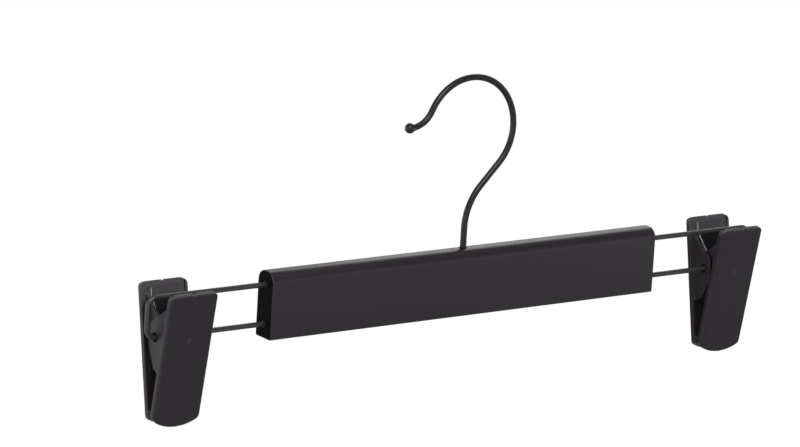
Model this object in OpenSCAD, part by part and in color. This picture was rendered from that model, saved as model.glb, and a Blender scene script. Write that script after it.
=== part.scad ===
// Skirt hanger: a wooden bar on a swivelling wire hook, with a wire loop at
// each end and a sprung two-jaw clip that slides along each loop.
// Origin: the inside crest of the hook, where it rests on a rail.
// X runs along the bar, Y from front to back, Z up.

/* [Bar] */
// Length of the wooden bar
bar_len = 220; // [190:1:260]
// Height of the bar
bar_h = 31.5; // [28:0.5:40]
// Thickness of the bar, front to back
bar_t = 12.2; // [11.2:0.1:16]
// Radius of the two long top edges
bar_top_r = 5; // [2:0.1:5.5]
// Radius of the two long bottom edges
bar_low_r = 1; // [0.4:0.1:2]

/* [Hook] */
// Diameter of the hook's wire
hook_d = 3; // [2.5:0.1:3.6]
// Straight rise of the wire above the bar
hook_rise = 9.5; // [6:0.5:20]
// Centreline radius of the bend above the stem
neck_r = 28; // [15:1:32]
// Angle that the neck leans away from the stem
neck_turn = 44; // [35:1:55]
// Centreline radius of the large arc
hook_r = 24.8; // [22:0.2:32]
// Angle of the large arc
hook_turn = 198; // [185:1:210]
// Centreline radius of the curl before the ball
tail_r = 12.5; // [8:0.5:16]
// Angle of that curl
tail_turn = 67; // [40:1:80]
// Diameter of the ball on the hook's end
ball_d = 4.9; // [4:0.1:7]
// Outer diameter of the washer under the bar
washer_d = 7.6; // [6.4:0.1:8.6]
// Thickness of the washer
washer_t = 0.8; // [0.5:0.1:1.2]
// Diameter of the peened head below the washer
head_d = 5.4; // [4.6:0.1:6]
// Height of the peened head
head_h = 1.4; // [1:0.1:2]

/* [Wire loops] */
// Diameter of the loops' wire
loop_d = 2.5; // [2:0.1:3]
// Distance between the two legs of a loop
leg_gap = 18.5; // [16:0.5:20]
// Height of the lower leg above the bottom of the bar
lower_leg = 6.6; // [4:0.1:7.5]
// Centreline radius of a loop's two corners
loop_r = 4.4; // [4:0.1:7]
// Distance from a clip's side to the centreline of its loop's end
loop_end = 2.9; // [2.8:0.1:9]
// Depth that a leg goes into the bar
leg_in = 25; // [15:1:40]

/* [Clips] */
// Width of a clip, along the bar
clip_w = 25; // [22:0.5:30]
// Way that a clip slides towards the bar
clip_travel = 34; // [20:1:60]
// Height of the handles above the pivot
handle_up = 22.3; // [21:0.1:26]
// Depth of the jaws below the pivot
grip_down = 42; // [36:1:50]
// Distance from the middle to a handle's outer face, at its top
handle_half = 15.1; // [14.5:0.1:16.5]
// Distance from the middle to a jaw's outer face, at its tip
tip_half = 3.3; // [3.1:0.1:4]
// Thickness of a jaw's plate
plate_t = 2.3; // [1.8:0.1:2.5]
// Thickness of a jaw's side cheeks and rims
cheek_t = 1.4; // [1.2:0.1:1.6]
// Way that the outer jaw's cheeks stand in from its sides
side_in = 1.3; // [0.6:0.1:1.4]
// Height of the side rims above a plate's inner face
rim_h = 1.1; // [0.6:0.1:1.4]
// Radius of a handle's top corners
corner_r = 3.6; // [1.5:0.1:4.5]
// Radius of the curved lower end of a jaw
lower_r = 22; // [15.5:0.5:40]
// Radius of a jaw's rolled long edges and of its top edge
edge_r = 1.6; // [0.6:0.1:1.8]
// Height of the gripping teeth's zone
teeth_h = 7; // [4:1:12]
// Number of teeth on a jaw
teeth = 5; // [3:1:8]
// Depth of a tooth
tooth_deep = 0.55; // [0.3:0.05:0.8]

/* [Springs] */
// Width of a spring's steel strip
strip_w = 14; // [8:0.5:14.5]
// Thickness of the strip
strip_t = 0.9; // [0.6:0.1:1.1]
// Inner radius of the spring's bow, round the wire
bow_r = 2.7; // [2.2:0.1:3]
// Inner radius of the spring's other bends
bend_r = 2.5; // [1.5:0.1:3]
// Lean of a leg between the bow and its pad
leg_lean = 45; // [38:1:50]
// Height of the straight rise above the bow's centre
bow_rise = 5; // [3:0.1:6]

/* [Fits] */
// Radial clearance of the hook's shank in the bar
shank_clear = 0.35; // [0.2:0.05:0.6]
// Radial clearance of a loop's leg in its hole
leg_clear = 0.05; // [0.05:0.05:0.2]
// Radial clearance of a jaw's pivot hole on the wire
pivot_clear = 0.9; // [0.2:0.1:1]
// Gap between moving flat faces
face_clear = 0.2; // [0.1:0.05:0.4]
// Gap between an inner jaw's cheek and the outer jaw's beside it
nest_clear = 0.35; // [0.2:0.05:0.6]
// Gap between the two jaws' teeth when closed
bite_clear = 0.3; // [0.2:0.05:0.5]
// Gap between a spring's pad and its handle
pad_clear = 0.15; // [0.1:0.05:0.3]
// Gap at the bar when a clip is pushed right in
end_clear = 0.5; // [0.3:0.1:2]

/* [Hidden] */
$fn = 48;

wood_black = "#2f2e30";
wire_black = "#3b3a3c";
clip_black = "#343335";
strip_black = "#3a3b3e";
steel = "#b9bbbf";

// The hook's crest lies right above its stem, so the hanger hangs level
neck_run = (hook_r * cos(neck_turn) - neck_r * (1 - cos(neck_turn))) / sin(neck_turn);
crest_h = hook_rise + neck_r * sin(neck_turn) + neck_run * cos(neck_turn)
    + hook_r * sin(neck_turn) + hook_r;
bar_top = -(crest_h - hook_d / 2);
bar_low = bar_top - bar_h;
low_z = bar_low + lower_leg;

// The washer and the head lie in a counterbore under the bar
well_clear = 0.4;
well_d = washer_d + 2 * well_clear;
head_cover = 0.6;
well_h = washer_t + face_clear + head_h + head_cover;
shank_down = bar_h - head_cover - head_h;
head_flat = 0.5;
head_taper = 0.6;
tail_gap = 0.5;
bend_thin = 0.02;
bend_lap = 0.05;

// Holes for the loops' legs
hole_rim = 0.5;
hole_spare = 0.5;

// Places along the bar
clip_x = bar_len / 2 + end_clear + clip_travel + clip_w / 2;
loop_x = clip_x + clip_w / 2 + loop_end;

// A jaw is drawn upright in its own plate's frame: v points inwards from the
// plate, u runs up along it, and the pivot is at the origin
lean = atan2(handle_half - tip_half, handle_up + grip_down);
face_v = handle_half * cos(lean) - handle_up * sin(lean);
inner_v = face_v - plate_t;
top_u = handle_half * sin(lean) + handle_up * cos(lean);
tip_u = tip_half * sin(lean) - grip_down * cos(lean);
jaw_h = top_u - tip_u;
pivot_r = loop_d / 2 + pivot_clear;
rim_v = inner_v - rim_h;

// The corners of a cheek, from its root on the handle, over the beak that
// reaches past the wire, to its foot on the plate below
root_u = 19;
beak_v = 1.6;
beak_u = 8.9;
crest_v = 4.9;
crest_u = 5.8;
nose_v = 5.3;
nose_u = 3;
lip_v = 4.5;
lip_u = -4.2;
chin_v = 2.9;
chin_u = -7.4;
knee_v = -2.2;
knee_u = -14.3;
foot_u = -16.5;
cheek_round = 0.7;
rim_clear = 0.3;

// Small features of a jaw
tip_land = 1;
pad_slope = 3;
low_corner = 4.2;
gate_r = 0.8;
rail_w = 0.9;
rail_h = 0.8;
rail_gap = 0.4;
rail_low = 13.5;
rail_top = 2.2;
pad_short = 2.5;
far = 60;

function arc(c, r, from, to, n) =
    [for (i = [0 : n]) c + r * [cos(from + (to - from) * i / n), sin(from + (to - from) * i / n)]];

// The points of a bent path, each with its heading away from +Z. A step is a
// straight run, [0, length], or a bend, [radius, angle], which turns towards
// +X, or towards -X below zero.
function bend_points(at, r, a, n) =
    [for (i = [1 : n]) let (g = at[2] + a * i / n, s = sign(a))
        [at[0] + s * r * (cos(at[2]) - cos(g)), at[1] + s * r * (sin(g) - sin(at[2])), g]];
function step_points(at, step) = step[0] > 0 ? bend_points(at, step[0], step[1], 12)
    : [[at[0] + step[1] * sin(at[2]), at[1] + step[1] * cos(at[2]), at[2]]];
function walk(steps, at = [0, 0, 0], i = 0) = i == len(steps) ? [at]
    : let (more = step_points(at, steps[i]))
        concat([at], [for (k = [0 : 1 : len(more) - 2]) more[k]],
            walk(steps, more[len(more) - 1], i + 1));

// A round wire along the steps of a path. A bend is drawn thinner by a hair,
// as bent wire is, and its ends reach into the straight runs on either side.
module wire(d, steps, i = 0) {
    if (i < len(steps)) {
        r = steps[i][0];
        a = abs(steps[i][1]);
        if (r == 0) {
            cylinder(d = d, h = steps[i][1], $fn = 32);
            translate([0, 0, steps[i][1]]) wire(d, steps, i + 1);
        } else {
            side = steps[i][1] > 0 ? 0 : 180;
            past = atan(bend_lap / r);
            rotate([0, 0, side]) {
                translate([r, 0, 0]) rotate([90, 0, 0])
                    rotate_extrude(angle = a + 2 * past, start = 180 - a - past, $fn = 64)
                    translate([r, 0]) circle(d = d - bend_thin, $fn = 32);
                translate([r * (1 - cos(a)), 0, r * sin(a)]) rotate([0, a, 0])
                    rotate([0, 0, -side]) wire(d, steps, i + 1);
            }
        }
    }
}

// One wire from the peened head, up through the bar and round to the ball
module hook() color(wire_black) {
    steps = [[0, shank_down + hook_rise], [neck_r, neck_turn], [0, neck_run],
        [hook_r, -hook_turn], [0, tail_gap], [tail_r, tail_turn]];
    path = walk(steps);
    end = path[len(path) - 1];
    translate([0, 0, bar_top - shank_down]) {
        wire(hook_d, steps);
        translate([end[0], 0, end[1]]) sphere(d = ball_d);
        translate([0, 0, -head_flat]) cylinder(d = head_d, h = head_flat);
        translate([0, 0, -head_h])
            cylinder(d1 = head_d * head_taper, d2 = head_d, h = head_h - head_flat);
    }
}

module hook_washer() color(steel)
    translate([0, 0, bar_low + well_h - washer_t]) difference() {
        cylinder(d = washer_d, h = washer_t);
        translate([0, 0, -1]) cylinder(r = hook_d / 2 + shank_clear, h = washer_t + 2);
    }

// The bar's section has well rounded top edges and crisp bottom ones
module bar_section() {
    top_r = min(bar_top_r, bar_t / 2 - 0.3);
    half = bar_t / 2;
    polygon(concat(
        arc([half - bar_low_r, bar_low_r], bar_low_r, -90, 0, 4),
        arc([half - top_r, bar_h - top_r], top_r, 0, 90, 14),
        arc([top_r - half, bar_h - top_r], top_r, 90, 180, 14),
        arc([bar_low_r - half, bar_low_r], bar_low_r, 180, 270, 4)));
}

// A hole for a loop's leg, with a small countersink at its mouth
module leg_hole() {
    r = loop_d / 2 + leg_clear;
    translate([0, 0, -leg_in - hole_spare]) cylinder(r = r, h = leg_in + hole_spare + 1);
    translate([0, 0, -hole_rim]) cylinder(r1 = r, r2 = r + hole_rim + 0.01, h = hole_rim + 0.01);
}

module bar() color(wood_black)
    translate([0, 0, bar_low]) difference() {
        rotate([90, 0, 90]) translate([0, 0, -bar_len / 2]) linear_extrude(bar_len) bar_section();
        translate([0, 0, -1]) cylinder(r = hook_d / 2 + shank_clear, h = bar_h + 2);
        translate([0, 0, -1]) cylinder(d = well_d, h = well_h + 1);
        for (side = [-1, 1], z = [lower_leg, lower_leg + leg_gap])
            translate([side * bar_len / 2, 0, z]) rotate([0, side * 90, 0]) leg_hole();
    }

// A loop: a leg out of the bar, round the end and back into the bar
module wire_loop() {
    leg = loop_x - loop_r - (bar_len / 2 - leg_in);
    end = leg_gap - 2 * loop_r;
    translate([bar_len / 2 - leg_in, 0, low_z]) rotate([0, 90, 0]) mirror([1, 0, 0])
        wire(loop_d, [[0, leg], [loop_r, 90], [0, end], [loop_r, 90], [0, leg]]);
}

module left_wire() color(wire_black) mirror([1, 0, 0]) wire_loop();
module right_wire() color(wire_black) wire_loop();

// Outline of a jaw's plate, seen square on, with rounded top corners and a
// curved lower end
module plate_outline() {
    half = clip_w / 2;
    low_c = tip_u + lower_r;
    side_u = low_c - sqrt(lower_r * lower_r - half * half);
    offset(r = low_corner, $fn = 40) offset(r = -low_corner) intersection() {
        translate([-half, tip_u - 5]) square([clip_w, jaw_h + 5 + low_corner]);
        union() {
            translate([0, low_c]) circle(r = lower_r, $fn = 160);
            translate([-half, side_u]) square([clip_w, jaw_h + low_corner]);
        }
    }
}

module plate_top() {
    offset(r = corner_r, $fn = 40) offset(r = -corner_r)
        translate([-clip_w / 2, tip_u - far]) square([clip_w, jaw_h + far]);
}

// Section across a jaw: its two long outer edges are rolled
module rolled_section() {
    half = clip_w / 2;
    polygon(concat(
        arc([half - edge_r, edge_r - face_v], edge_r, -90, 0, 8),
        [[half, far], [-half, far]],
        arc([edge_r - half, edge_r - face_v], edge_r, 180, 270, 8)));
}

// Side view of what a jaw may fill, with its top edge rolled
module side_outline() {
    polygon(concat(
        [[far, tip_u - 1], [far, top_u]],
        arc([edge_r - face_v, top_u - edge_r], edge_r, 90, 180, 8),
        [[-face_v, tip_u - 1]]));
}

// What a jaw may fill: its outlines from the front and from the side
module jaw_envelope() {
    intersection() {
        rotate([90, 0, 0]) translate([0, 0, -far]) linear_extrude(2 * far)
            intersection() { plate_outline(); plate_top(); }
        side_prism(clip_w + 2) side_outline();
    }
}

// Side view of a cheek, in v and u, from the plate to the beak
module cheek_profile() {
    offset(r = cheek_round, $fn = 32) offset(delta = -cheek_round)
        polygon([[-inner_v, root_u], [beak_v, beak_u], [crest_v, crest_u], [nose_v, nose_u],
            [lip_v, lip_u], [chin_v, chin_u], [knee_v, knee_u], [-inner_v, foot_u],
            [-face_v - cheek_round, foot_u], [-face_v - cheek_round, root_u]]);
}

// Side view of a rim, which ends at the middle plane near the tip
module rim_profile() {
    intersection() {
        translate([-face_v, tip_u - 1]) square([face_v - rim_v, jaw_h + 2]);
        rotate(-lean) translate([-far - rim_clear, -far]) square([far, 2 * far]);
    }
}

// Teeth and the pad that carries them, in y and z, up to the middle plane
module teeth_profile() {
    pitch = teeth_h / teeth;
    low = -grip_down - tip_land;
    first = tip_land - grip_down;
    crest = -bite_clear / 2;
    polygon(concat(
        [[crest - tooth_deep, low]],
        [for (i = [0 : teeth - 1], s = [0, 0.5])
            [crest - (s == 0 ? tooth_deep : 0), first + pitch * (i + s)]],
        [[crest - tooth_deep, first + teeth_h], [-handle_half, first + teeth_h + pad_slope],
        [-handle_half, low]]));
}

module side_prism(wide, x = 0)
    rotate([90, 0, 90]) translate([0, 0, x - wide / 2]) linear_extrude(wide) children();

// A jaw about its pivot, with the plate at the front. Inset is how far its
// cheeks stand in from the sides.
module jaw(inset) {
    outer = clip_w / 2 - inset;
    rotate([lean, 0, 0]) difference() {
        intersection() {
            jaw_envelope();
            union() {
                intersection() {
                    translate([0, 0, tip_u - 1]) linear_extrude(jaw_h + 2) rolled_section();
                    union() {
                        translate([-clip_w / 2, -face_v, tip_u - 1])
                            cube([clip_w, plate_t, jaw_h + 2]);
                        rotate([-lean, 0, 0]) side_prism(clip_w) teeth_profile();
                        for (side = [-1, 1]) {
                            side_prism(cheek_t, side * (clip_w - cheek_t) / 2) rim_profile();
                            side_prism(cheek_t, side * (outer - cheek_t / 2)) cheek_profile();
                        }
                    }
                }
                for (side = [-1, 1]) spring_rail(side);
            }
        }
        rotate([0, 90, 0]) cylinder(r = pivot_r, h = clip_w + 2, center = true);
        translate([0, 0, top_u]) rotate([90, 0, 0])
            cylinder(r = gate_r, h = 2 * far, center = true);
    }
}

// Two low rails on a handle's inner face keep the spring's pad between them
module spring_rail(side) {
    middle = side * (strip_w / 2 + rail_gap + rail_w / 2);
    translate([middle - rail_w / 2, -face_v + edge_r, rail_low])
        cube([rail_w, plate_t - edge_r + rail_h, top_u - rail_top - rail_low]);
}

module outer_jaw() jaw(side_in);
module inner_jaw() jaw(side_in + cheek_t + nest_clear);

// A spring: a strip with its bow under the wire, and on each side a rise, a
// lean outwards and a pad that lies along the handle's inner face
module spring() {
    mid = strip_t / 2;
    bow = bow_r + mid;
    bend = bend_r + mid;
    low = loop_d / 2 + face_clear + mid;
    pad_v = inner_v - pad_clear - mid;
    // The end of the bend into the pad, as if the leaning part had no length
    lean_from = walk([[bow, -90], [0, bow_rise], [bend, leg_lean], [bend, lean - leg_lean]],
        [0, -low, 90]);
    near = lean_from[len(lean_from) - 1];
    run = (pad_v + near[1] * sin(lean) - near[0] * cos(lean)) / sin(leg_lean - lean);
    pad_z = near[1] + run * cos(leg_lean);
    pad = (handle_up - pad_short - pad_z) / cos(lean);
    path = walk([[bow, -90], [0, bow_rise], [bend, leg_lean], [0, run],
        [bend, lean - leg_lean], [0, pad]], [0, -low, 90]);
    n = len(path) - 1;
    function side(p, s, flip) = [flip * (p[0] + s * mid * cos(p[2])), p[1] - s * mid * sin(p[2])];
    side_prism(strip_w) polygon(concat(
        [for (i = [0 : n]) side(path[i], 1, 1)],
        [for (i = [n : -1 : 0]) side(path[i], -1, 1)],
        [for (i = [1 : n]) side(path[i], -1, -1)],
        [for (i = [n : -1 : 1]) side(path[i], 1, -1)]));
}

// The right clip is the left one turned half round
module at_clip(side) translate([side * clip_x, 0, low_z]) children();
module turned() rotate([0, 0, 180]) children();

module left_front_jaw() color(clip_black) at_clip(-1) outer_jaw();
module left_rear_jaw() color(clip_black) at_clip(-1) turned() inner_jaw();
module left_spring() color(strip_black) at_clip(-1) spring();
module right_front_jaw() color(clip_black) at_clip(1) inner_jaw();
module right_rear_jaw() color(clip_black) at_clip(1) turned() outer_jaw();
module right_spring() color(strip_black) at_clip(1) spring();

hook();
hook_washer();
bar();
left_wire();
right_wire();
left_front_jaw();
left_rear_jaw();
left_spring();
right_front_jaw();
right_rear_jaw();
right_spring();
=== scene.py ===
# %% [markdown]
# # A skirt hanger
#
# A slim wooden bar hangs from a wire hook that swivels in it. A loop of wire leaves each end of
# the bar, and on each loop slides a clip of two plastic jaws that a steel strip springs shut.
# The construction is a finished frame of named solids. This notebook dresses that frame: it
# gives each piece its rounded edges and its finish, and leaves every place and size as it is.
#
# The frame is in metres, with its origin inside the hook's crest, x along the bar, y to the back
# and z up. The hanger's own sizes are written in millimetres, as a maker would write them, and
# are multiplied by MM where they meet the frame. The table, the lamps and the card are placed in
# metres.

# %% Load the frame
import math

import bmesh
import bpy
from mathutils import Matrix, Vector


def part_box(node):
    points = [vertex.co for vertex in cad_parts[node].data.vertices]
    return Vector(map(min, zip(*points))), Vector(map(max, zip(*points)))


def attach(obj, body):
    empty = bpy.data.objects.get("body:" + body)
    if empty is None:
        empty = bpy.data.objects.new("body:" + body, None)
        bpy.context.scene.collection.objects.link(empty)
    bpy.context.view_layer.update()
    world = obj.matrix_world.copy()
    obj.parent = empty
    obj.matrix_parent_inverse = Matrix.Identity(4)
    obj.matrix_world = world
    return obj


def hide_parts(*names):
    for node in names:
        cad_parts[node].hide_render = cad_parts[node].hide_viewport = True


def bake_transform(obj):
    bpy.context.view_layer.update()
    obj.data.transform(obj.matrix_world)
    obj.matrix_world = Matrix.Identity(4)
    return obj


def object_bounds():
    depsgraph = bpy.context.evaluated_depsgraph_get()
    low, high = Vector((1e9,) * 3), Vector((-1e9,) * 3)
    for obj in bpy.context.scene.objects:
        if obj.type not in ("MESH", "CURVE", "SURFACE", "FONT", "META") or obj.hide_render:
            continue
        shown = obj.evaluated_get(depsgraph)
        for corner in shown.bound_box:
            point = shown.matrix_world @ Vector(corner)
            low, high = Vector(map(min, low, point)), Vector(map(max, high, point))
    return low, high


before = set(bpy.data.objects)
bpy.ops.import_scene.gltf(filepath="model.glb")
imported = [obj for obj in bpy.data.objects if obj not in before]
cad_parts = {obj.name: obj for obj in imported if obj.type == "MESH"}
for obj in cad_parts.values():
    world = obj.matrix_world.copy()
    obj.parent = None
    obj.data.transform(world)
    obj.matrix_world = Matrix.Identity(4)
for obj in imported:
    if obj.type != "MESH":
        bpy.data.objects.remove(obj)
cad_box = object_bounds()
MM = 0.001

# The loops' lower legs, on which the clips turn, lie this high above the bar's underside
LOWER_LEG = 6.6

bar_low, bar_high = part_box("bar")
bar_foot = bar_low.z / MM
bar_tall = (bar_high.z - bar_low.z) / MM
pivot_z = bar_low.z + LOWER_LEG * MM
clip_x = sum(corner.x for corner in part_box("right_front_jaw")) / 2
print("overall size, mm:", [round(side / MM, 1) for side in cad_box[1] - cad_box[0]])

# %% [markdown]
# ## Camera
#
# The hanger is seen from the left of its front and a little from above, through a long lens that
# hardly converges. The camera is placed by what it sees: the bottom of the bar's middle lies at a
# known offset, a little to its right and below it, and far ahead. That says more than a bare
# position would.

# %% Camera
# How far the camera stands to the left of the front, looks down, and leans to its left
TURN = math.radians(35.84)
DROP = math.radians(13.79)
ROLL = math.radians(3.32)
BAR_FROM_CAMERA = Vector((27.58, -41.78, 2113.5)) * MM
SENSOR_WIDTH = 36
PICTURE_WIDTH = 800
FOCAL_LENGTH_IN_PIXELS = 4517
FAR_LIMIT = 50

ahead = Vector((math.sin(TURN) * math.cos(DROP), math.cos(TURN) * math.cos(DROP), -math.sin(DROP)))
level = Vector((math.cos(TURN), -math.sin(TURN), 0))
upright = level.cross(ahead)
right = level * math.cos(ROLL) + upright * math.sin(ROLL)
up = upright * math.cos(ROLL) - level * math.sin(ROLL)
sighted = Vector((0, 0, bar_low.z))
eye = (sighted - right * BAR_FROM_CAMERA.x - up * BAR_FROM_CAMERA.y
       - ahead * BAR_FROM_CAMERA.z)

camera = bpy.data.objects.new("camera", bpy.data.cameras.new("camera"))
bpy.context.scene.collection.objects.link(camera)
camera.data.sensor_width = SENSOR_WIDTH
camera.data.lens = SENSOR_WIDTH * FOCAL_LENGTH_IN_PIXELS / PICTURE_WIDTH
camera.data.clip_end = FAR_LIMIT
camera.matrix_world = Matrix((
    (right.x, up.x, -ahead.x, eye.x),
    (right.y, up.y, -ahead.y, eye.y),
    (right.z, up.z, -ahead.z, eye.z),
    (0, 0, 0, 1)))
bpy.context.scene.camera = camera
print("lens, mm:", round(camera.data.lens, 1), "camera at", [round(c, 3) for c in eye])

# %% [markdown]
# ## Helpers for node trees
#
# Materials and Geometry Nodes are both graphs. Written node by node they are long and hard to
# read, so a socket is wrapped in a small class with Python's operators: an expression such as
# `0.4 + 0.1 * noise` adds its own Math nodes. One method makes any other node, from its type, its
# settings and the values or links of its sockets.


# %% Sockets that do arithmetic
class Output:
    """The output socket of a node, with Python's arithmetic on it."""

    def __init__(self, graph, socket):
        self.graph = graph
        self.socket = socket

    def maths(self, operation, first, second=0.0):
        return self.graph.node("ShaderNodeMath", {"operation": operation}, {0: first, 1: second})

    def __add__(self, other):
        return self.maths("ADD", self, other)

    def __sub__(self, other):
        return self.maths("SUBTRACT", self, other)

    def __rsub__(self, other):
        return self.maths("SUBTRACT", other, self)

    def __mul__(self, other):
        return self.maths("MULTIPLY", self, other)

    def __truediv__(self, other):
        return self.maths("DIVIDE", self, other)

    __radd__, __rmul__ = __add__, __mul__


class Graph:
    """A node tree in which one method makes and links any node."""

    def __init__(self, tree):
        self.tree = tree
        tree.nodes.clear()

    def node(self, kind, settings=None, sockets=None, out=0):
        """Makes a node and gives the output that out names, or the node if it has none."""
        made = self.tree.nodes.new(kind)
        for name, value in (settings or {}).items():
            if name == "stops":
                self.set_stops(made.color_ramp, value)
            else:
                setattr(made, name, value)
        for key, value in (sockets or {}).items():
            if isinstance(value, Output):
                self.tree.links.new(value.socket, made.inputs[key])
            else:
                made.inputs[key].default_value = value
        return Output(self, made.outputs[out]) if len(made.outputs) else made

    @staticmethod
    def set_stops(ramp, stops):
        while len(ramp.elements) < len(stops):
            ramp.elements.new(1)
        for element, (place, colour) in zip(ramp.elements, stops):
            element.position = place
            element.color = colour


# %% [markdown]
# ## Finishes
#
# Nearly everything here is black, so the finishes are told apart by their gloss and their fine
# relief. Pictures of each could be wrapped round the pieces, but they blur near by and show their
# seams. Noise needs neither a picture nor a map, so all of them are made of noise that reads
# Object coordinates. Each piece has its place in its mesh and its object at the origin, so those
# coordinates are metres in the hanger's own frame.


# %% What the finishes share
X, Y, Z = range(3)
# A Mix node names its sockets alike for numbers and colours, so the colours' go by their order
FIRST_COLOUR, SECOND_COLOUR, MIXED_COLOUR = 6, 7, 2


def start_material(name):
    """A material, its Graph, and the place of the shaded point on the piece."""
    material = bpy.data.materials.new(name)
    material.use_nodes = True
    graph = Graph(material.node_tree)
    place = graph.node("ShaderNodeTexCoord", out="Object")
    return material, graph, place


def noise(graph, place, size, stretch=(1, 1, 1), detail=2.0, roughness=0.5):
    """Noise whose blotches are about one size across, in mm. A stretch under 1 draws them out."""
    shrunk = graph.node("ShaderNodeMapping", sockets={"Vector": place, "Scale": stretch})
    return graph.node("ShaderNodeTexNoise", sockets={
        "Vector": shrunk, "Scale": 1 / (size * MM), "Detail": detail, "Roughness": roughness})


def mix_colours(graph, factor, first, second):
    """From the first colour to the second. Each is three numbers or the output of a node."""
    colours = [c if isinstance(c, Output) else (*c, 1) for c in (first, second)]
    return graph.node("ShaderNodeMix", {"data_type": "RGBA"}, {
        "Factor": factor, FIRST_COLOUR: colours[0], SECOND_COLOUR: colours[1]},
        out=MIXED_COLOUR)


def relief(graph, height, depth, under=None):
    """A normal bent by a height of 0 to 1 that stands for depth mm, over another relief."""
    sockets = {"Height": height, "Distance": depth * MM}
    if under is not None:
        sockets["Normal"] = under
    return graph.node("ShaderNodeBump", sockets=sockets)


def finish_material(graph, **sockets):
    """Ends a material in one shader, with its sockets under short names."""
    names = {"base": "Base Color", "rough": "Roughness", "metal": "Metallic", "normal": "Normal",
             "level": "Specular IOR Level"}
    surface = graph.node("ShaderNodeBsdfPrincipled",
                         sockets={names[key]: value for key, value in sockets.items()})
    graph.node("ShaderNodeOutputMaterial", sockets={"Surface": surface})


# %% [markdown]
# ## Black lacquer
#
# The bar is sprayed with black lacquer, thin enough for the grain to tell in its gloss. A plain
# black would pass for plastic, and grain cut into the mesh would take millions of faces. So long
# grain and a fine orange peel are only relief, one over the other, and wide clouds shift the
# tone and the gloss a little, as an uneven coat does.

# %% Black lacquer on wood
LACQUER_DEEP = (0.0102, 0.0068, 0.0105)
LACQUER_THIN = (0.0156, 0.0106, 0.0160)


def lacquered_wood():
    material, graph, place = start_material("black_lacquer")
    grain = noise(graph, place, size=0.6, stretch=(0.03, 1, 1), detail=4)
    peel = noise(graph, place, size=1.7, detail=1)
    clouds = noise(graph, place, size=22, stretch=(0.5, 1, 1), detail=3)
    base = mix_colours(graph, clouds, LACQUER_DEEP, LACQUER_THIN)
    normal = relief(graph, peel, depth=0.02, under=relief(graph, grain, depth=0.012))
    finish_material(graph, base=base, rough=0.33 + 0.08 * clouds, level=0.5, normal=normal)
    return material


LACQUER = lacquered_wood()
print("finish:", LACQUER.name)

# %% [markdown]
# ## Sawn ends
#
# The bar's ends are cut across the grain, and their open pores leave them dull. Their colour is
# set darker than the lacquer's as painted shade, so they are the darkest thing on the hanger.
# A rough surface alone would still catch a sheen at a flat angle, so the specular level is almost
# nothing too. A fine noise stands for the pores and a wider one, drawn out across the bar, for
# the rings.

# %% Sawn ends under thin lacquer
# Painted shade: the ends' colours are darker than the lacquer's
SAWN_SHADE_DEEP = (0.0030, 0.0029, 0.0032)
SAWN_SHADE_PALE = (0.0070, 0.0066, 0.0073)


def sawn_end():
    material, graph, place = start_material("sawn_end")
    pores = noise(graph, place, size=0.35, stretch=(0.1, 1, 0.6), detail=4, roughness=0.7)
    rings = noise(graph, place, size=2.4, stretch=(0.1, 0.35, 1), detail=3)
    base = mix_colours(graph, rings, SAWN_SHADE_DEEP, SAWN_SHADE_PALE)
    normal = relief(graph, pores, depth=0.05)
    finish_material(graph, base=base, rough=0.7 + 0.2 * pores, level=0.06, normal=normal)
    return material


SAWN = sawn_end()
print("finish:", SAWN.name)

# %% [markdown]
# ## Enamel on wire
#
# The hook and the loops are dipped in black enamel. On the hook it is sound. On the loops the
# sliding clips have rubbed it towards grey. Two materials written apart would drift apart, so
# one function makes both from their colours: patches of noise go from the sound colour to the
# rubbed one and dull the gloss, and a slow ripple breaks the highlight as a dipped coat does.


# %% Black enamel on wire
def enamelled_wire(name, sound, rubbed_and_highlight, level):
    """Enamel that goes from its sound colour to a rubbed one in patches."""
    material, graph, place = start_material(name)
    ripple = noise(graph, place, size=1.2, detail=1)
    patches = noise(graph, place, size=6, detail=4, roughness=0.65)
    base = mix_colours(graph, patches, sound, rubbed_and_highlight)
    normal = relief(graph, ripple, depth=0.012)
    finish_material(graph, base=base, rough=0.24 + 0.1 * patches, level=level, normal=normal)
    return material


ENAMEL = enamelled_wire("black_enamel", sound=(0.0079, 0.0066, 0.0081),
                        rubbed_and_highlight=(0.0129, 0.0110, 0.0131), level=0.38)
RUBBED = enamelled_wire("rubbed_enamel", sound=(0.0275, 0.0254, 0.0272),
                        rubbed_and_highlight=(0.0415, 0.0389, 0.0408), level=0.5)
print("finishes:", ENAMEL.name, RUBBED.name)

# %% [markdown]
# ## Satin plastic
#
# The jaws are moulded in black plastic, in a mould with a fine grain. High on the inner faces of
# the handles the plastic is matt and painted paler, as painted light, the rolled top edges are
# painted grey as a painted highlight, and on each outer face a lighter spot is painted over the
# sink mark as a painted sheen. Such marks could be painted on a map of each jaw. All four jaws
# have them in the same places, so masks that are worked out from a point's place, and from the
# way its face looks, serve them all.

# %% Masks by place and direction
# Heights above the pivot between which the painted light on the inner faces begins, and the
# painted highlight on the top edges
LIT_FACE_EDGE = (11, 16)
TOP_HIGHLIGHT_EDGE = (18.5, 20.5)
# Size in mm of the lighter spot painted over each sink mark as a painted sheen
SINK_SPOT_SIZE = 1.4
SINK_SPOT_CORE = 0.3


def axis_of(graph, vector, axis):
    return graph.node("ShaderNodeSeparateXYZ", sockets={0: vector}, out=axis)


def facing(graph, axis):
    """How squarely a face looks along an axis of the hanger's frame, from -1 to 1."""
    return axis_of(graph, graph.node("ShaderNodeTexCoord", out="Normal"), axis)


def band(graph, value, low, high):
    """0 below low and 1 above high, with an eased step between them."""
    return graph.node("ShaderNodeMapRange", {"interpolation_type": "SMOOTHSTEP"},
                      {"Value": value, "From Min": low, "From Max": high})


def above_pivot(graph, place, edge):
    """0 below the edge's lower height and 1 above its upper one."""
    low, high = edge
    return band(graph, axis_of(graph, place, Z), pivot_z + low * MM, pivot_z + high * MM)


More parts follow.
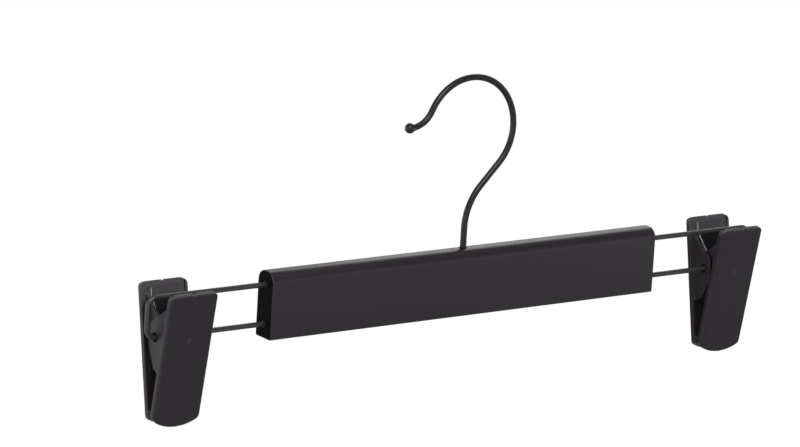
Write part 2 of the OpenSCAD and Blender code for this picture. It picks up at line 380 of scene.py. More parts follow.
def inner_side(graph, place, low, high):
    """1 on faces that look across the hanger's middle, by how squarely they look that way."""
    side = graph.node("ShaderNodeMath", {"operation": "SIGN"}, {0: axis_of(graph, place, Y)})
    return band(graph, 0 - side * facing(graph, Y), low, high)


def sink_sheen_spot(graph, place):
    """1 on the spot, level with the pivot, over each jaw's sink mark, where a lighter grey is
    painted as a painted sheen.
    """
    from_middle = graph.node("ShaderNodeMath", {"operation": "ABSOLUTE"},
                             {0: axis_of(graph, place, X)})
    sideways = from_middle - clip_x
    upwards = axis_of(graph, place, Z) - pivot_z
    reach = (SINK_SPOT_SIZE * MM) ** 2
    return 1 - band(graph, sideways * sideways + upwards * upwards, SINK_SPOT_CORE * reach, reach)


# %% Satin black plastic
PLASTIC_DEEP = (0.0123, 0.0090, 0.0127)
PLASTIC_PALE = (0.0169, 0.0124, 0.0173)
# Painted light: the paler grey high on the handles' inner faces
LIT_FACE_GREY = (0.068, 0.063, 0.069)
# Painted highlight: the grey on the rolled top edges
TOP_HIGHLIGHT_GREY = (0.064, 0.0590, 0.0645)
# Painted sheen: the lighter grey over the sink marks
SINK_SHEEN_GREY = (0.029, 0.027, 0.030)


def satin_plastic():
    material, graph, place = start_material("black_plastic")
    spark = noise(graph, place, size=0.22, detail=2, roughness=0.6)
    flow = noise(graph, place, size=9, stretch=(1, 1, 0.4), detail=3)
    # Painted light: high on the handles' inner faces the plastic is rougher and painted paler
    matt_and_lit = inner_side(graph, place, 0.4, 0.8) * above_pivot(graph, place, LIT_FACE_EDGE)
    # Painted highlight: the up-facing rolled top edges are rougher and painted grey
    rubbed_and_highlight = band(graph, facing(graph, Z), 0.2, 0.75) * above_pivot(graph, place, TOP_HIGHLIGHT_EDGE)
    # Painted sheen: a lighter spot over the sink mark, with deeper relief
    sink_spot = sink_sheen_spot(graph, place)
    body = mix_colours(graph, flow, PLASTIC_DEEP, PLASTIC_PALE)
    top_lit = mix_colours(graph, rubbed_and_highlight, body, TOP_HIGHLIGHT_GREY)
    face_lit = mix_colours(graph, matt_and_lit, top_lit, LIT_FACE_GREY)
    base = mix_colours(graph, sink_spot, face_lit, SINK_SHEEN_GREY)
    normal = relief(graph, spark, depth=0.012 + 0.02 * sink_spot)
    rough = 0.42 + 0.08 * flow + 0.16 * matt_and_lit + 0.12 * rubbed_and_highlight
    finish_material(graph, base=base, rough=rough, level=0.42, normal=normal)
    return material


PLASTIC = satin_plastic()
print("finish:", PLASTIC.name)

# %% [markdown]
# ## Blackened strip
#
# The springs are bent from strip steel that was blackened in the coil. Blacking is a thin scale
# in the steel's own skin, with little gloss, so a low specular level does more for it than a
# high roughness would. Rolling has left fine lines along the strip. Where a pad lies flat on its
# handle it is painted the same paler grey as the plastic there, as painted light.

# %% Blackened strip
STRIP_DEEP = (0.0034, 0.0021, 0.0036)
STRIP_PALE = (0.0070, 0.0048, 0.0073)


def blackened_strip():
    material, graph, place = start_material("blackened_strip")
    scale = noise(graph, place, size=1.6, detail=4, roughness=0.6)
    lines = noise(graph, place, size=0.15, stretch=(1, 0.06, 0.06), detail=2)
    # Painted light: the pad's inner face, high on the handle, gets the handle's paler grey
    lit_pad = inner_side(graph, place, 0.85, 0.95) * above_pivot(graph, place, LIT_FACE_EDGE)
    black = mix_colours(graph, scale, STRIP_DEEP, STRIP_PALE)
    base = mix_colours(graph, lit_pad, black, LIT_FACE_GREY)
    normal = relief(graph, lines, depth=0.006)
    finish_material(graph, base=base, rough=0.34 + 0.16 * scale, level=0.16, normal=normal)
    return material


STRIP = blackened_strip()
print("finish:", STRIP.name)

# %% [markdown]
# ## Bare steel
#
# Shears leave the strip's edges bright, and the washer under the bar is plated with zinc. Both
# are steel in a tone with fine lines and a little stain. A full metal shows only what it
# mirrors, which is right for the washer. Sheared steel is torn and scatters light, and a low
# metal value stands for that.

# %% Bare steel
STAIN_SHADE = 0.86


def bare_steel(name, tone, metal):
    material, graph, place = start_material(name)
    lines = noise(graph, place, size=0.12, stretch=(1, 0.05, 0.05), detail=3)
    stain = noise(graph, place, size=3, detail=3)
    base = mix_colours(graph, stain, [STAIN_SHADE * c for c in tone], tone)
    normal = relief(graph, lines, depth=0.006)
    finish_material(graph, base=base, rough=0.26 + 0.14 * stain, metal=metal, normal=normal)
    return material


CUT = bare_steel("sheared_edge", tone=(0.78, 0.79, 0.81), metal=0.3)
ZINC = bare_steel("zinc_washer", tone=(0.58, 0.60, 0.62), metal=1.0)
print("finishes:", CUT.name, ZINC.name)

# %% [markdown]
# ## Bent wire
#
# The hook and the two loops are wire that a machine has fed, bent, and fed again. Their line
# could be drawn by hand as a Bezier curve, but its radii would then be nobody's sizes. So a wire
# is told as such a machine would be told: straight runs and bends. Python walks those steps to
# points on a curve. The same walk gives the springs their line further on.

# %% Walk the steps of a bent wire
DEGREES_PER_POINT = 3


def walk(steps, start=(0, 0), heading=0):
    """Points (x, z) along runs and bends, and the heading at the end. A step is ("run", length)
    or ("bend", radius, angle), in mm and degrees. Heading 0 is straight up, and a bend above 0
    turns towards +x."""
    x, z = start
    points = [(x, z)]
    for kind, size, *angle in steps:
        if kind == "run":
            x += size * math.sin(math.radians(heading))
            z += size * math.cos(math.radians(heading))
            points.append((x, z))
            continue
        turn = angle[0]
        side = math.copysign(1, turn)
        count = max(2, round(abs(turn) / DEGREES_PER_POINT))
        start_at = math.radians(heading)
        centre = (x + side * size * math.cos(start_at), z - side * size * math.sin(start_at))
        for i in range(1, count + 1):
            at = math.radians(heading + turn * i / count)
            points.append((centre[0] - side * size * math.cos(at),
                           centre[1] + side * size * math.sin(at)))
        heading += turn
        x, z = points[-1]
    return points, heading


def curve_through(name, points):
    data = bpy.data.curves.new(name, "CURVE")
    data.dimensions = "3D"
    spline = data.splines.new("POLY")
    spline.points.add(len(points) - 1)
    for slot, point in zip(spline.points, points):
        slot.co = (*point, 1)
    made = bpy.data.objects.new(name, data)
    bpy.context.scene.collection.objects.link(made)
    return made


# %% [markdown]
# ## The sweeping tree
#
# A curve's own bevel would make it a round wire at once. A Geometry Nodes tree does it too, and
# its gauge, its sides and its finish are then named inputs that each wire sets for itself. The
# tree ends in Realize Instances and Set Material. The evaluated object is then copied out as a
# plain mesh, so nothing of the tree is left on the finished piece.


# %% A tree that sweeps round wire
def new_tree(name, sizes):
    """A Geometry Nodes tree that takes a curve and named sizes, its Graph, and its inputs."""
    tree = bpy.data.node_groups.new(name, "GeometryNodeTree")
    tree.interface.new_socket("Curve", in_out="INPUT", socket_type="NodeSocketGeometry")
    for size, kind in sizes.items():
        tree.interface.new_socket(size, in_out="INPUT", socket_type=kind)
    tree.interface.new_socket("Mesh", in_out="OUTPUT", socket_type="NodeSocketGeometry")
    graph = Graph(tree)
    entry = graph.node("NodeGroupInput").socket.node
    taken = {socket.name: Output(graph, socket) for socket in entry.outputs if socket.name}
    return tree, graph, taken


def end_tree(graph, mesh, material):
    whole = graph.node("GeometryNodeRealizeInstances", sockets={"Geometry": mesh})
    coated = graph.node("GeometryNodeSetMaterial",
                        sockets={"Geometry": whole, "Material": material})
    graph.node("NodeGroupOutput", sockets={0: coated})


def round_wire_tree():
    tree, graph, taken = new_tree("round_wire", {
        "Diameter": "NodeSocketFloat", "Sides": "NodeSocketInt", "Finish": "NodeSocketMaterial"})
    profile = graph.node("GeometryNodeCurvePrimitiveCircle", sockets={
        "Resolution": taken["Sides"], "Radius": taken["Diameter"] / 2})
    swept = graph.node("GeometryNodeCurveToMesh", sockets={
        "Curve": taken["Curve"], "Profile Curve": profile, "Fill Caps": True})
    smooth = graph.node("GeometryNodeSetShadeSmooth", sockets={"Geometry": swept})
    end_tree(graph, smooth, taken["Finish"])
    return tree


def grow(source, tree, **values):
    """The plain mesh that a tree makes of an object, in a new object of the same name."""
    modifier = source.modifiers.new("grow", "NODES")
    modifier.node_group = tree
    for item in tree.interface.items_tree:
        if item.in_out == "INPUT" and item.name in values:
            modifier[item.identifier] = values[item.name]
    depsgraph = bpy.context.evaluated_depsgraph_get()
    mesh = bpy.data.meshes.new_from_object(source.evaluated_get(depsgraph))
    name = source.name
    bpy.data.objects.remove(source)
    made = bpy.data.objects.new(name, mesh)
    mesh.name = name
    bpy.context.scene.collection.objects.link(made)
    return made


ROUND_WIRE = round_wire_tree()
print("tree:", ROUND_WIRE.name, "with", len(ROUND_WIRE.nodes), "nodes")

# %% [markdown]
# ## Turned details
#
# The ball on the hook's end, the head peened on its shank and the cutters for the holes are
# all turned shapes: a profile spun about an axis. Blender's own spin leaves doubled points at its
# seam and in the middle. A small function spins a profile about any axis and closes it where it
# meets that axis, so that each shape comes out as a sealed mesh.


# %% Spin a profile
def turned(bm, profile, origin, axis, sides=40):
    """Adds to bm a profile of (radius, height) points in mm, spun about an axis from origin."""
    axis = Vector(axis).normalized()
    across = axis.orthogonal().normalized()
    beside = axis.cross(across)
    rings = []
    for radius, height in profile:
        middle = Vector(origin) + axis * height * MM
        if radius == 0:
            rings.append([bm.verts.new(middle)])
            continue
        rings.append([bm.verts.new(
            middle + (across * math.cos(a) + beside * math.sin(a)) * radius * MM)
            for a in (2 * math.pi * i / sides for i in range(sides))])
    for lower, upper in zip(rings, rings[1:]):
        for i in range(sides):
            j = (i + 1) % sides
            if len(lower) == 1:
                bm.faces.new((lower[0], upper[j], upper[i]))
            elif len(upper) == 1:
                bm.faces.new((lower[i], lower[j], upper[0]))
            else:
                bm.faces.new((lower[i], lower[j], upper[j], upper[i]))


def arc(centre, radius, start, end, count):
    """Points on an arc, with its angles in degrees from the first axis."""
    angles = [math.radians(start + (end - start) * i / count) for i in range(count + 1)]
    return [(centre[0] + radius * math.cos(a), centre[1] + radius * math.sin(a)) for a in angles]


def object_from(bm, name, *materials):
    """A smooth object of a bmesh, with its faces turned outwards."""
    bmesh.ops.recalc_face_normals(bm, faces=bm.faces[:])
    for face in bm.faces:
        face.smooth = True
    mesh = bpy.data.meshes.new(name)
    bm.to_mesh(mesh)
    bm.free()
    for material in materials:
        mesh.materials.append(material)
    made = bpy.data.objects.new(name, mesh)
    bpy.context.scene.collection.objects.link(made)
    return made


def joined(pieces, name):
    """The meshes of several objects as one piece."""
    bm = bmesh.new()
    for piece in pieces:
        bm.from_mesh(piece.data)
    materials = [slot.material for slot in pieces[0].material_slots]
    for piece in pieces:
        bpy.data.objects.remove(piece)
    return object_from(bm, name, *materials)


# %% [markdown]
# ## The hook
#
# One wire starts at a head peened under the bar, goes straight up through it, leans away in a
# wide bend, goes round in the large arc and ends in a small curl with a ball, so that it catches
# no cloth. The arc's top lies right over the shank, so the run between the two bends isn't a
# size of its own: it follows from their radii. The ball and the head are turned, and joined to
# the swept wire as one piece.

# %% Hook
HOOK_WIRE = 3.0
HOOK_SIDES = 32
# The peened head, and how deep it sits in the bar's underside
HEAD_SIZE = 5.4
HEAD_HEIGHT = 1.4
HEAD_ROUND, HEAD_EDGE = 0.9, 0.1
HEAD_STEPS = 5
HEAD_COVER = 0.6
# The wire's way up: straight out of the bar, the neck, the crook and the curl
HOOK_RISE = 9.5
NECK_RADIUS, NECK_TURN = 28.0, 44
CROOK_RADIUS, CROOK_TURN = 24.8, 198
CURL_GAP = 0.5
CURL_RADIUS, CURL_TURN = 12.5, 67
# The ball, and the radius of the fillet where the wire goes into it
BALL_SIZE = 4.9
BALL_NECK = 0.9
BALL_STEPS, NECK_STEPS = 22, 5


def hook_steps():
    lean = math.radians(NECK_TURN)
    run = (CROOK_RADIUS * math.cos(lean) - NECK_RADIUS * (1 - math.cos(lean))) / math.sin(lean)
    shank = bar_tall - HEAD_COVER - HEAD_HEIGHT
    return [("run", shank + HOOK_RISE), ("bend", NECK_RADIUS, NECK_TURN), ("run", run),
            ("bend", CROOK_RADIUS, -CROOK_TURN), ("run", CURL_GAP),
            ("bend", CURL_RADIUS, CURL_TURN)]


def ball_profile():
    """A ball with a small fillet where the wire goes in, along the wire's own axis."""
    ball = BALL_SIZE / 2
    rim = HOOK_WIRE / 2 + BALL_NECK
    meet = math.sqrt((ball + BALL_NECK) ** 2 - rim ** 2)
    lean = math.degrees(math.atan2(meet, rim))
    fillet = arc((-meet, rim), BALL_NECK, -90, -lean, NECK_STEPS)
    sphere = arc((0, 0), ball, 90 + lean, 0, BALL_STEPS)
    return [(radius, height) for height, radius in fillet + sphere[1:-1]] + [(0, ball)]


def head_profile():
    """The peened head, from the middle of its underside, round its edge, to its flat top."""
    out = HEAD_SIZE / 2
    edge = arc((out - HEAD_ROUND, HEAD_ROUND - HEAD_HEIGHT), HEAD_ROUND, -90, 0, HEAD_STEPS)
    return [(0, -HEAD_HEIGHT), *edge, (out, -HEAD_EDGE), (out - HEAD_EDGE, 0), (0, 0)]


def make_hook():
    foot = bar_foot + HEAD_COVER + HEAD_HEIGHT
    line, heading = walk(hook_steps(), start=(0, foot))
    curve = curve_through("hook_line", [(x * MM, 0, z * MM) for x, z in line])
    wire = grow(curve, ROUND_WIRE, Diameter=HOOK_WIRE * MM, Sides=HOOK_SIDES, Finish=ENAMEL)
    along = (math.sin(math.radians(heading)), 0, math.cos(math.radians(heading)))
    bm = bmesh.new()
    turned(bm, ball_profile(), (line[-1][0] * MM, 0, line[-1][1] * MM), along)
    turned(bm, head_profile(), (0, 0, foot * MM), (0, 0, 1))
    ends = object_from(bm, "hook_ends", ENAMEL)
    return joined([wire, ends], "hook_wire")


hook = make_hook()
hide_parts("hook")
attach(hook, "hook")
print("hook:", len(hook.data.polygons), "faces")

# %% [markdown]
# ## The bar
#
# The bar is a strip of hardwood, planed square, with its two long top edges run over a round
# cutter and its lower ones just broken by sandpaper. Its ends are sawn, and two blind holes in
# each take the wires. A bevelled box would need a weight for every edge, because their radii
# differ. So the section is drawn once and carried along the bar, its last few tenths are drawn
# in at the ends, and the holes are cut with turned cutters.

# %% Bar
TOP_ROUND, TOP_STEPS = 5.0, 20
LOW_ROUND, LOW_STEPS = 1.0, 6
END_BREAK, END_STEPS = 0.35, 4


def bar_section(inset):
    """The bar's outline across, in mm about the middle of its underside, drawn in by inset."""
    half = (bar_high.y - bar_low.y) / 2 / MM
    side, height = half - TOP_ROUND, bar_tall - TOP_ROUND
    foot = half - LOW_ROUND
    low, top = LOW_ROUND - inset, TOP_ROUND - inset
    return (arc((foot, LOW_ROUND), low, -90, 0, LOW_STEPS)
            + arc((side, height), top, 0, 90, TOP_STEPS)
            + arc((-side, height), top, 90, 180, TOP_STEPS)
            + arc((-foot, LOW_ROUND), low, 180, 270, LOW_STEPS))


def bar_stations():
    """Where the section stands along the bar, in mm, and how far it is drawn in there: a quarter
    round in from the left end, and the same one out to the right."""
    half = bar_high.x / MM
    left = []
    for i in range(END_STEPS, -1, -1):
        a = math.radians(90 * i / END_STEPS)
        left.append((-half + END_BREAK * (1 - math.sin(a)), END_BREAK * (1 - math.cos(a))))
    return left + [(-x, inset) for x, inset in reversed(left)]


def make_bar():
    bm = bmesh.new()
    rings = [[bm.verts.new((x * MM, y * MM, bar_low.z + z * MM)) for y, z in bar_section(inset)]
             for x, inset in bar_stations()]
    count = len(rings[0])
    for near, far in zip(rings, rings[1:]):
        for i in range(count):
            j = (i + 1) % count
            bm.faces.new((near[i], near[j], far[j], far[i]))
    bm.faces.new(rings[0])
    bm.faces.new(rings[-1][::-1])
    return object_from(bm, "bar_wood", LACQUER, SAWN)


# %% Cutters for the bar's holes
LOOP_WIRE = 2.5
LEG_GAP = 18.5
LEG_IN, LEG_SPACE = 25.0, 0.5
HOLE_CLEAR, HOLE_RIM = 0.05, 0.5
SHANK_CLEAR, SHANK_RIM = 0.35, 0.25
WELL_SIZE, WELL_HEIGHT = 8.4, 3.0
# How far a cutter stands out of the wood
OVERCUT = 1


def leg_hole():
    """The cutter for a loop's leg, from the hole's bottom out to its broken rim."""
    bore = LOOP_WIRE / 2 + HOLE_CLEAR
    rim = bore + HOLE_RIM
    bottom = -LEG_IN - LEG_SPACE
    return [(0, bottom), (bore, bottom), (bore, -HOLE_RIM), (rim, 0),
            (rim + OVERCUT, OVERCUT), (0, OVERCUT)]


def shank_hole():
    """The cutter for the hook's shank, with the well for its washer and head below."""
    well = WELL_SIZE / 2
    bore = HOOK_WIRE / 2 + SHANK_CLEAR
    rim = bore + SHANK_RIM
    return [(0, -OVERCUT), (well, -OVERCUT), (well, WELL_HEIGHT), (bore, WELL_HEIGHT),
            (bore, bar_tall - SHANK_RIM), (rim, bar_tall),
            (rim + OVERCUT, bar_tall + OVERCUT), (0, bar_tall + OVERCUT)]


def make_cutters():
    bm = bmesh.new()
    for side in (-1, 1):
        for height in (LOWER_LEG, LOWER_LEG + LEG_GAP):
            mouth = (side * bar_high.x, 0, bar_low.z + height * MM)
            turned(bm, leg_hole(), mouth, (side, 0, 0))
    turned(bm, shank_hole(), (0, 0, bar_low.z), (0, 0, 1))
    return object_from(bm, "cutters", LACQUER)


# %% Cut and dress the bar
BAR_CREASE = 32
END_FACING = 0.9


def apply_modifiers(made):
    """Turns an object's modifiers into plain mesh."""
    depsgraph = bpy.context.evaluated_depsgraph_get()
    mesh = bpy.data.meshes.new_from_object(made.evaluated_get(depsgraph))
    made.modifiers.clear()
    made.data = mesh
    mesh.name = made.name


def shade_by_angle(made, degrees):
    """Smooth shading, but for edges sharper than an angle."""
    bm = bmesh.new()
    bm.from_mesh(made.data)
    for face in bm.faces:
        face.smooth = True
    for edge in bm.edges:
        if len(edge.link_faces) == 2:
            edge.smooth = edge.calc_face_angle() < math.radians(degrees)
    bm.to_mesh(made.data)
    bm.free()


def second_finish_sideways(made, least):
    """Gives an object's second finish to its faces that look along x by at least so much."""
    for face in made.data.polygons:
        if abs(face.normal.x) > least:
            face.material_index = 1


bar = make_bar()
cutters = make_cutters()
cut = bar.modifiers.new("holes", "BOOLEAN")
cut.object = cutters
cut.solver = "EXACT"
apply_modifiers(bar)
bpy.data.objects.remove(cutters)
shade_by_angle(bar, BAR_CREASE)
second_finish_sideways(bar, END_FACING)
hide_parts("bar")
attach(bar, "bar")
print("bar:", len(bar.data.polygons), "faces")

# %% [markdown]
# ## The wire loops
#
# Each loop is a U of thinner wire whose two legs are driven into the bar's end. It is the rail
# that a clip slides on, and its lower leg is the clip's pivot. It could be mirrored from one
# side to the other, but a mirror turns a mesh inside out unless its faces are turned back. So
# the walk is made twice, and only the sign of x differs.

# %% Loops
LOOP_RADIUS = 4.4
LOOP_SIDES = 28


def make_loop(name, side):
    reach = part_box("right_wire")[1].x / MM - LOOP_WIRE / 2
    start = bar_high.x / MM - LEG_IN
    leg = reach - LOOP_RADIUS - start
    line, _ = walk([("run", leg), ("bend", LOOP_RADIUS, 90), ("run", LEG_GAP - 2 * LOOP_RADIUS),
                    ("bend", LOOP_RADIUS, 90), ("run", leg)])
    low = bar_foot + LOWER_LEG
    points = [(side * (start + z) * MM, 0, (low + x) * MM) for x, z in line]
    return grow(curve_through(name, points), ROUND_WIRE,
                Diameter=LOOP_WIRE * MM, Sides=LOOP_SIDES, Finish=RUBBED)


for side_name, side in (("left", -1), ("right", 1)):
    loop = make_loop(side_name + "_loop", side)
    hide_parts(side_name + "_wire")
    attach(loop, "bar")
    print(loop.name + ":", len(loop.data.polygons), "faces")

# %% [markdown]
# ## The jaws
#
# A jaw is one moulding: a long plate with two side cheeks that hold the wire, and a toothed tip.
# A mould has no sharp inner corners, and its parting edges are eased. Rather than bevel a hundred
# edges, a copy of the frame's own solid is turned upright, rebuilt from fine voxels and smoothed,
# which eases every edge and fills every inner corner alike. Over the cheeks' thick root the
# plastic has shrunk, so a shallow round sink is pressed into each outer face. Then what is flat
# is thinned out.

# %% Jaws
# From the pivot up to the handle's end and down to the tip, and how far out each outer face is
HANDLE_UP, HANDLE_HALF = 22.3, 15.1
GRIP_DOWN, TIP_HALF = 42.0, 3.3
JAW_LEAN = math.atan2(HANDLE_HALF - TIP_HALF, HANDLE_UP + GRIP_DOWN)
SAME_POINT = 0.001
VOXEL = 0.22
EASE, EASE_PASSES = 0.5, 5
KEEP_FACES = 0.3
SINK_RADIUS, SINK_DEPTH = 1.5, 0.22
# A point is on the outer face if it lies this near to the outermost one
OUTER_SKIN = 0.3


def sink(made, face):
    """A shallow round sink mark on an upright jaw's outer face, level with the pivot."""
    outer = max(v.co.y * face for v in made.data.vertices)
    for v in made.data.vertices:
        away = math.hypot(v.co.x, v.co.z)
        if v.co.y * face > outer - OUTER_SKIN and away < SINK_RADIUS:
            v.co.y -= face * SINK_DEPTH * (0.5 + 0.5 * math.cos(math.pi * away / SINK_RADIUS))


def make_jaw(node, face):
    """A jaw from its node. Its outer face looks to the front where face is -1, to the back
    where it is 1."""
    bm = bmesh.new()
    bm.from_mesh(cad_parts[node].data)
    bmesh.ops.remove_doubles(bm, verts=bm.verts[:], dist=SAME_POINT * MM)
    low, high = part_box(node)
    pivot = Vector(((low.x + high.x) / 2, 0, pivot_z))
    stand = Matrix.Rotation(face * JAW_LEAN, 4, "X")
    upright_mm = Matrix.Scale(1 / MM, 4) @ stand @ Matrix.Translation(-pivot)
    bm.transform(upright_mm)
    made = object_from(bm, node + "_moulding", PLASTIC)
    remesh = made.modifiers.new("voxels", "REMESH")
    remesh.mode = "VOXEL"
    remesh.voxel_size = VOXEL
    remesh.use_smooth_shade = True
    ease = made.modifiers.new("ease", "SMOOTH")
    ease.factor = EASE
    ease.iterations = EASE_PASSES
    apply_modifiers(made)
    sink(made, face)
    thin = made.modifiers.new("thin", "DECIMATE")
    thin.ratio = KEEP_FACES
    apply_modifiers(made)
    made.data.transform(upright_mm.inverted())
    return made


for side_name in ("left", "right"):
    for face_name, face in (("front", -1), ("rear", 1)):
        body = side_name + "_" + face_name + "_jaw"
        jaw = make_jaw(body, face)
        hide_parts(body)
        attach(jaw, body)
        print(jaw.name + ":", len(jaw.data.polygons), "faces")

# %% [markdown]
# ## The springs
#
# A strip of spring steel goes under the wire in a bow, up, outwards, and flat against both
# handles. Its line follows the same kind of steps as a wire, and a second small tree sweeps a
# flat profile along it, with its edges just broken. Its faces are blackened and its sheared
# edges are bare. One piece couldn't follow two handles that swing opposite ways, so each half is
# a piece of its own.


# %% A tree that sweeps flat strip
EDGE_STEPS = 4


def flat_strip_tree():
    tree, graph, taken = new_tree("flat_strip", {
        "Width": "NodeSocketFloat", "Thickness": "NodeSocketFloat",
        "Edge": "NodeSocketFloat", "Finish": "NodeSocketMaterial"})
    outline = graph.node("GeometryNodeCurvePrimitiveQuadrilateral", sockets={
        "Width": taken["Thickness"], "Height": taken["Width"]})
    rounded = graph.node("GeometryNodeFilletCurve", {"mode": "POLY"}, {
        "Curve": outline, "Count": EDGE_STEPS, "Radius": taken["Edge"]})
    upright_line = graph.node("GeometryNodeSetCurveNormal", {"mode": "Z_UP"},
                              {"Curve": taken["Curve"]})
    swept = graph.node("GeometryNodeCurveToMesh", sockets={
        "Curve": upright_line, "Profile Curve": rounded, "Fill Caps": True})
    end_tree(graph, swept, taken["Finish"])
    return tree


FLAT_STRIP = flat_strip_tree()
print("tree:", FLAT_STRIP.name, "with", len(FLAT_STRIP.nodes), "nodes")

# %% Springs
STRIP_WIDTH, STRIP_THICK, STRIP_EDGE = 14.0, 0.9, 0.12
STRIP_CREASE = 40
EDGE_FACING = 0.5
# Inner radii of the bow under the wire and of the two bends above it
BOW_RADIUS, BEND_RADIUS = 2.7, 2.5
# The straight rise beside the wire, and the lean in degrees of the run out to the handle
BOW_RISE, LEG_LEAN = 5.0, 45
# The wall of a jaw's plate, and the room between wire and bow, and between pad and plate
PLATE = 2.3
FACE_CLEAR, PAD_CLEAR = 0.2, 0.15
# How far the pad stops short of the handle's end
PAD_SHORT = 2.5


def spring_line():
    """The line of half a spring from the middle of its bow, in y and z about the pivot."""
    mid = STRIP_THICK / 2
    bow, bend = BOW_RADIUS + mid, BEND_RADIUS + mid
    low = LOOP_WIRE / 2 + FACE_CLEAR + mid
    lean = math.degrees(JAW_LEAN)
    plate = HANDLE_HALF * math.cos(JAW_LEAN) - HANDLE_UP * math.sin(JAW_LEAN) - PLATE
    pad_face = plate - PAD_CLEAR - mid
    start = [("bend", bow, -90), ("run", BOW_RISE), ("bend", bend, LEG_LEAN)]
    bent, _ = walk(start + [("bend", bend, lean - LEG_LEAN)], start=(0, -low), heading=90)
    y, z = bent[-1]
    run = ((pad_face + z * math.sin(JAW_LEAN) - y * math.cos(JAW_LEAN))
           / math.sin(math.radians(LEG_LEAN) - JAW_LEAN))
    pad_z = z + run * math.cos(math.radians(LEG_LEAN))
    pad = (HANDLE_UP - PAD_SHORT - pad_z) / math.cos(JAW_LEAN)
    line, _ = walk(start + [("run", run), ("bend", bend, lean - LEG_LEAN), ("run", pad)],
                   start=(0, -low), heading=90)
    return line


def make_spring(name, x, face):
    """Half a spring about x: the front half where face is -1, the rear half where it is 1."""
    line = [(y * MM, z * MM, 0) for y, z in spring_line()]
    made = grow(curve_through(name, line), FLAT_STRIP, Width=STRIP_WIDTH * MM,
                Thickness=STRIP_THICK * MM, Edge=STRIP_EDGE * MM, Finish=STRIP)
    bm = bmesh.new()
    bm.from_mesh(made.data)
    for v in bm.verts:
        y, z, across = v.co
        v.co = (x + across, face * y, pivot_z + z)
    bpy.data.objects.remove(made)
    made = object_from(bm, name, STRIP, CUT)
    shade_by_angle(made, STRIP_CREASE)
    second_finish_sideways(made, EDGE_FACING)
    return made


for side_name in ("left", "right"):
    for face_name, face in (("front", -1), ("rear", 1)):
        low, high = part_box(side_name + "_spring")
        spring = make_spring(side_name + "_spring_" + face_name, (low.x + high.x) / 2, face)
        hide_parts(side_name + "_spring")
        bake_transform(spring)
        print(spring.name + ":", len(spring.data.polygons), "faces")

# %% [markdown]
# ## The washer
#
# The zinc washer under the bar is a plain ring. It could be turned like the ball, but the
# frame's own solid is right as it is, so it stays and only gets its finish.

# %% Washer
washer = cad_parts["hook_washer"]
washer.data.materials.clear()
washer.data.materials.append(ZINC)
print("washer:", len(washer.data.polygons), "faces")

# %% [markdown]
# ## Table and room
#
# The hanger hangs over a white table before a white background. More light would make both white
# but wash out the blacks, so what a ray meets depends on its kind. The camera sees plain white.
# Diffuse rays meet a soft grey. Gloss sees the room as a studio has it: brightest in a thin band
# at the horizon, and towards the back on the left, and dim overhead, which draws the darker band
# under the bar's crest. The table glows for gloss as the room does in the same direction, so no
# mirrored line shows where it ends.

# %% Table and room
TABLE_DROP = 0.16
TABLE_SIZE = 40
TABLE_TONE = (0.6, 0.6, 0.6, 1)
ROOM_TONE = (0.55, 0.55, 0.55)
WHITE = (1, 1, 1)
WHITE_OUT = 1.04
# How much of the table the camera sees as plain white. The rest keeps the hanger's shadow
SEEN_WHITE = 0.94
# What gloss sees, from straight down at 0 to straight up at 1
GLOW_BY_HEIGHT = ((0.0, 0.38), (0.27, 0.44), (0.38, 0.67), (0.46, 0.80), (0.51, 1.25),
                  (0.56, 0.62), (0.70, 0.23), (1.0, 0.22))
BRIGHT_SIDE = (-0.7, 0.7, 0)
SIDE_REACH = 0.9
SIDE_LEAST, SIDE_MOST = 0.95, 1.7


def is_ray(graph, kind):
    return graph.node("ShaderNodeLightPath", out=kind)


def studio_glow(graph, direction):
    """What gloss sees along a direction. The ramp is grey, so plain arithmetic serves it."""
    glow = graph.node("ShaderNodeValToRGB", {
        "stops": [(place, (level, level, level, 1)) for place, level in GLOW_BY_HEIGHT]},
        {0: 0.5 + 0.5 * axis_of(graph, direction, Z)})
    toward = graph.node("ShaderNodeVectorMath", {"operation": "DOT_PRODUCT"},
                        {0: direction, 1: BRIGHT_SIDE}, out="Value")
    side = graph.node("ShaderNodeMapRange", sockets={
        "Value": toward, "From Min": -SIDE_REACH, "From Max": SIDE_REACH,
        "To Min": SIDE_LEAST, "To Max": SIDE_MOST})
    return glow * side


def ray_colour(graph, direction, plain):
    """White for the camera and through glass, the glow for gloss, and plain for other rays, with
    1 where the ray is one that sees white."""
    level = studio_glow(graph, direction)
    glow = graph.node("ShaderNodeCombineColor", sockets={0: level, 1: level, 2: level})
    for_gloss = mix_colours(graph, is_ray(graph, "Is Glossy Ray"), plain, glow)
    seen = graph.node("ShaderNodeMath", {"operation": "MAXIMUM"}, {
        0: is_ray(graph, "Is Camera Ray"), 1: is_ray(graph, "Is Transmission Ray")})
    return mix_colours(graph, seen, for_gloss, WHITE), seen


def make_table():
    material, graph, _ = start_material("white_table")
    place = graph.node("ShaderNodeNewGeometry", out="Position")
    direction = graph.node("ShaderNodeVectorMath", {"operation": "NORMALIZE"}, {0: place})
    colour, seen = ray_colour(graph, direction, WHITE)
    plain = graph.node("ShaderNodeBsdfDiffuse", sockets={"Color": TABLE_TONE})
    white = graph.node("ShaderNodeEmission", sockets={"Color": colour, "Strength": WHITE_OUT})
    both = graph.node("ShaderNodeMixShader", sockets={
        0: seen * SEEN_WHITE + is_ray(graph, "Is Glossy Ray"), 1: plain, 2: white})
    graph.node("ShaderNodeOutputMaterial", sockets={"Surface": both})
    z = cad_box[0].z - TABLE_DROP
    half = TABLE_SIZE / 2
    bm = bmesh.new()
    bm.faces.new([bm.verts.new(corner) for corner in (
        (-half, -half, z), (half, -half, z), (half, half, z), (-half, half, z))])
    floor = object_from(bm, "floor", material)
    print("table at z, m:", round(z, 3))


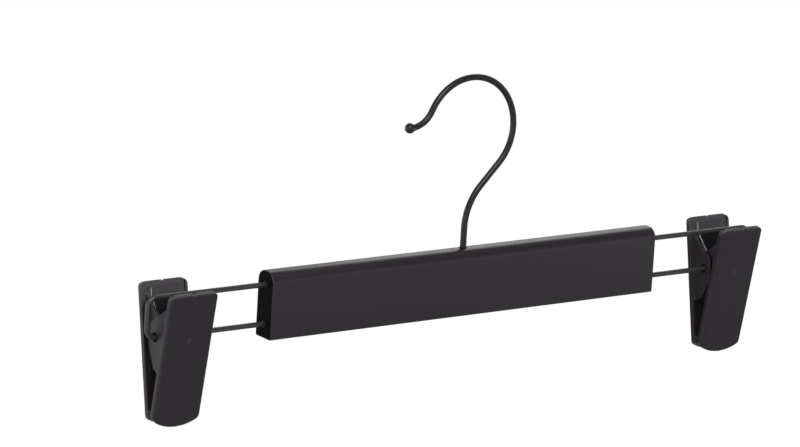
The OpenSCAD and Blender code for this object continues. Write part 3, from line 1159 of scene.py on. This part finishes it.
def make_room():
    world = bpy.data.worlds.new("studio")
    bpy.context.scene.world = world
    world.use_nodes = True
    graph = Graph(world.node_tree)
    direction = graph.node("ShaderNodeTexCoord", out="Generated")
    colour, _ = ray_colour(graph, direction, ROOM_TONE)
    back = graph.node("ShaderNodeBackground", sockets={"Color": colour, "Strength": WHITE_OUT})
    graph.node("ShaderNodeOutputWorld", sockets={"Surface": back})


make_table()
make_room()

# %% [markdown]
# ## Lamps
#
# The room alone would light the blacks from all sides alike, and they would look flat. A broad
# lamp from the front left, high up, models the plates and the bar's front softly. A smaller and
# weaker one from behind on the right catches the bar's rounded top, so that its crest stands out
# against the darker face below. Area lamps are used because they keep every highlight broad and
# every shadow soft.

# %% Lamps
KEY_PLACE, KEY_SIZE, KEY_POWER = (-0.5, -0.8, 1.0), 1.0, 13
CREST_PLACE, CREST_SIZE, CREST_POWER = (0.72, 0.75, 0.62), 0.6, 2.6


def aimed(place, aim, axis):
    """The turn that makes an object's axis look from a place to an aim, with its y upwards."""
    return (Vector(aim) - Vector(place)).to_track_quat(axis, "Y")


def lamp(name, place, size, power):
    """A square lamp that looks at the bottom of the bar's middle."""
    data = bpy.data.lights.new(name, "AREA")
    data.shape = "SQUARE"
    data.size = size
    data.energy = power
    made = bpy.data.objects.new(name, data)
    made.location = place
    made.rotation_euler = aimed(place, (0, 0, bar_low.z), "-Z").to_euler()
    bpy.context.scene.collection.objects.link(made)
    print("lamp:", name, power, "W")


lamp("front_key", KEY_PLACE, KEY_SIZE, KEY_POWER)
lamp("crest_light", CREST_PLACE, CREST_SIZE, CREST_POWER)

# %% [markdown]
# ## A dark card
#
# Seen from the front left, the side of the right clip mirrors the bright wall behind the hanger
# and would come out paler than the rest. A darker plastic would change the clip from every side.
# A photographer takes such a glare off with a black card, just where the clip mirrors it. Here
# only gloss sees the card. The camera doesn't, and it neither casts a shadow nor takes light away.

# %% Dark card
CARD_PLACE = (0.02, 0.19, -0.18)
CARD_AIM = (clip_x, 0, -0.12)
CARD_SIZE = 0.2
CARD_BLACK = (0.01, 0.01, 0.01, 1)


def dark_card(place, aim, size):
    """A square card at a place, facing an aim, that only gloss sees."""
    material, graph, _ = start_material("dark_card")
    finish_material(graph, base=CARD_BLACK, rough=1.0, level=0.0)
    bm = bmesh.new()
    bmesh.ops.create_grid(bm, x_segments=1, y_segments=1, size=size / 2)
    bm.transform(Matrix.Translation(place) @ aimed(place, aim, "Z").to_matrix().to_4x4())
    card = object_from(bm, "card", material)
    for ray in ("camera", "diffuse", "transmission", "shadow"):
        setattr(card, "visible_" + ray, False)
    print("card, m:", size, "at", place)


dark_card(CARD_PLACE, CARD_AIM, CARD_SIZE)

# %% [markdown]
# ## Colours as written
#
# Blender's default view softens contrast and greys pure white, as film does. The Standard view
# shows a colour as it is written, which suits a white background and blacks that differ by
# very little.

# %% View
bpy.context.scene.view_settings.view_transform = "Standard"
